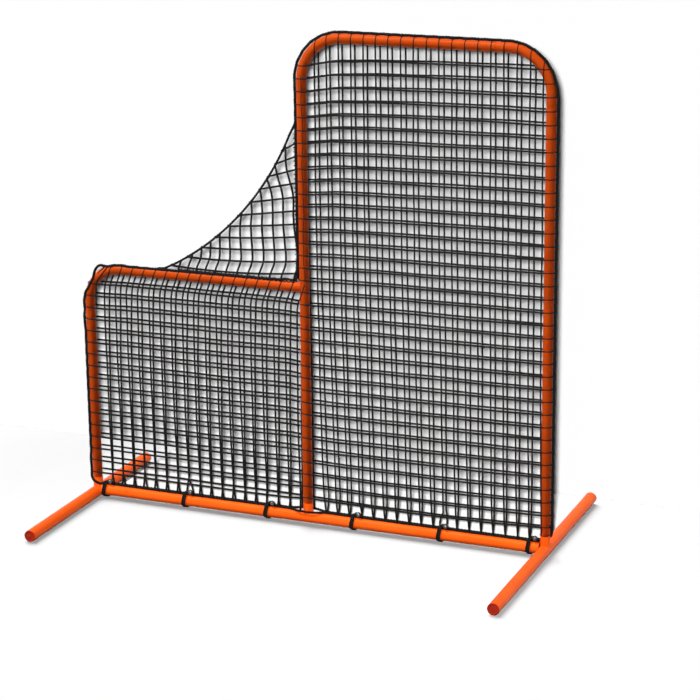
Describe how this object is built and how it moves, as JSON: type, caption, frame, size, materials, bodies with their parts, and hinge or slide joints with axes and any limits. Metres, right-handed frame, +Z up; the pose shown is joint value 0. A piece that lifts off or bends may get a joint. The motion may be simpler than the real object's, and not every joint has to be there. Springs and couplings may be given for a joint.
{
  "type": "baseball l screen",
  "caption": "Free-standing L-shaped tube frame with a pillowcase net, a netted notch corner and ball ties along the floor rail.",
  "frame": {"origin": "on the floor, midway between the outer posts, in the plane of the net frame", "axes": "+X along the screen towards its tall side, +Y from the front layer of the net to the rear one, +Z up"},
  "size_m": [2.1566, 1.342, 2.1453],
  "materials": {
    "orange_tube": "satin orange powder coat",
    "orange_cap": "dark orange end cap",
    "net_twine": "black treated net twine",
    "net_rope": "black sewn-in rope",
    "tie_elastic": "black elastic cord",
    "tie_ball": "glossy black ball",
    "button_steel": "zinc plated",
    "spring_steel": "bare spring steel"
  },
  "bodies": {
    "screen": {"left_foot": "orange_tube", "right_foot": "orange_tube", "bottom_rail": "orange_tube", "left_post": "orange_tube", "low_corner": "orange_tube", "low_bar": "orange_tube", "mid_post": "orange_tube", "tall_left_post": "orange_tube", "top_left_corner": "orange_tube", "top_bar": "orange_tube", "top_right_corner": "orange_tube", "right_post_upper": "orange_tube", "right_post_lower": "orange_tube", "left_foot_front_cap": "orange_cap", "left_foot_rear_cap": "orange_cap", "right_foot_front_cap": "orange_cap", "right_foot_rear_cap": "orange_cap", "net_front_tall": "net_twine", "net_front_low": "net_twine", "net_rear_tall": "net_twine", "net_rear_low": "net_twine", "net_web": "net_twine", "border_rope": "net_rope", "web_rope": "net_rope", "bottom_rope_front": "net_rope", "bottom_rope_rear": "net_rope", "tie_band_1": "tie_elastic", "tie_band_2": "tie_elastic", "tie_band_3": "tie_elastic", "tie_band_4": "tie_elastic", "tie_band_5": "tie_elastic", "tie_band_6": "tie_elastic", "tie_ball_1": "tie_ball", "tie_ball_2": "tie_ball", "tie_ball_3": "tie_ball", "tie_ball_4": "tie_ball", "tie_ball_5": "tie_ball", "tie_ball_6": "tie_ball", "left_post_snap_spring": "spring_steel", "right_post_snap_spring": "spring_steel", "mid_post_snap_spring": "spring_steel", "rail_left_snap_spring": "spring_steel", "rail_right_snap_spring": "spring_steel", "low_bar_snap_spring": "spring_steel"},
    "left_post_button": {"left_post_snap_button": "button_steel"},
    "right_post_button": {"right_post_snap_button": "button_steel"},
    "mid_post_button": {"mid_post_snap_button": "button_steel"},
    "rail_left_button": {"rail_left_snap_button": "button_steel"},
    "rail_right_button": {"rail_right_snap_button": "button_steel"},
    "low_bar_button": {"low_bar_snap_button": "button_steel"}
  },
  "joints": [
    {"name": "left_post_button_press", "type": "slide", "parent": "screen", "child": "left_post_button", "axis": [0, -1, 0], "range_m": [0, 0.0049], "stiffness_N_per_m": 2000, "deforming": ["left_post_snap_spring"]},
    {"name": "right_post_button_press", "type": "slide", "parent": "screen", "child": "right_post_button", "axis": [0, -1, 0], "range_m": [0, 0.0049], "stiffness_N_per_m": 2000, "deforming": ["right_post_snap_spring"]},
    {"name": "mid_post_button_press", "type": "slide", "parent": "screen", "child": "mid_post_button", "axis": [0, -1, 0], "range_m": [0, 0.0049], "stiffness_N_per_m": 2000, "deforming": ["mid_post_snap_spring"]},
    {"name": "rail_left_button_press", "type": "slide", "parent": "screen", "child": "rail_left_button", "axis": [0, -1, 0], "range_m": [0, 0.0053], "stiffness_N_per_m": 2000, "deforming": ["rail_left_snap_spring"]},
    {"name": "rail_right_button_press", "type": "slide", "parent": "screen", "child": "rail_right_button", "axis": [0, -1, 0], "range_m": [0, 0.0053], "stiffness_N_per_m": 2000, "deforming": ["rail_right_snap_spring"]},
    {"name": "low_bar_button_press", "type": "slide", "parent": "screen", "child": "low_bar_button", "axis": [0, 0, 1], "range_m": [0, 0.0049], "stiffness_N_per_m": 2000, "deforming": ["low_bar_snap_spring"]}
  ]
}
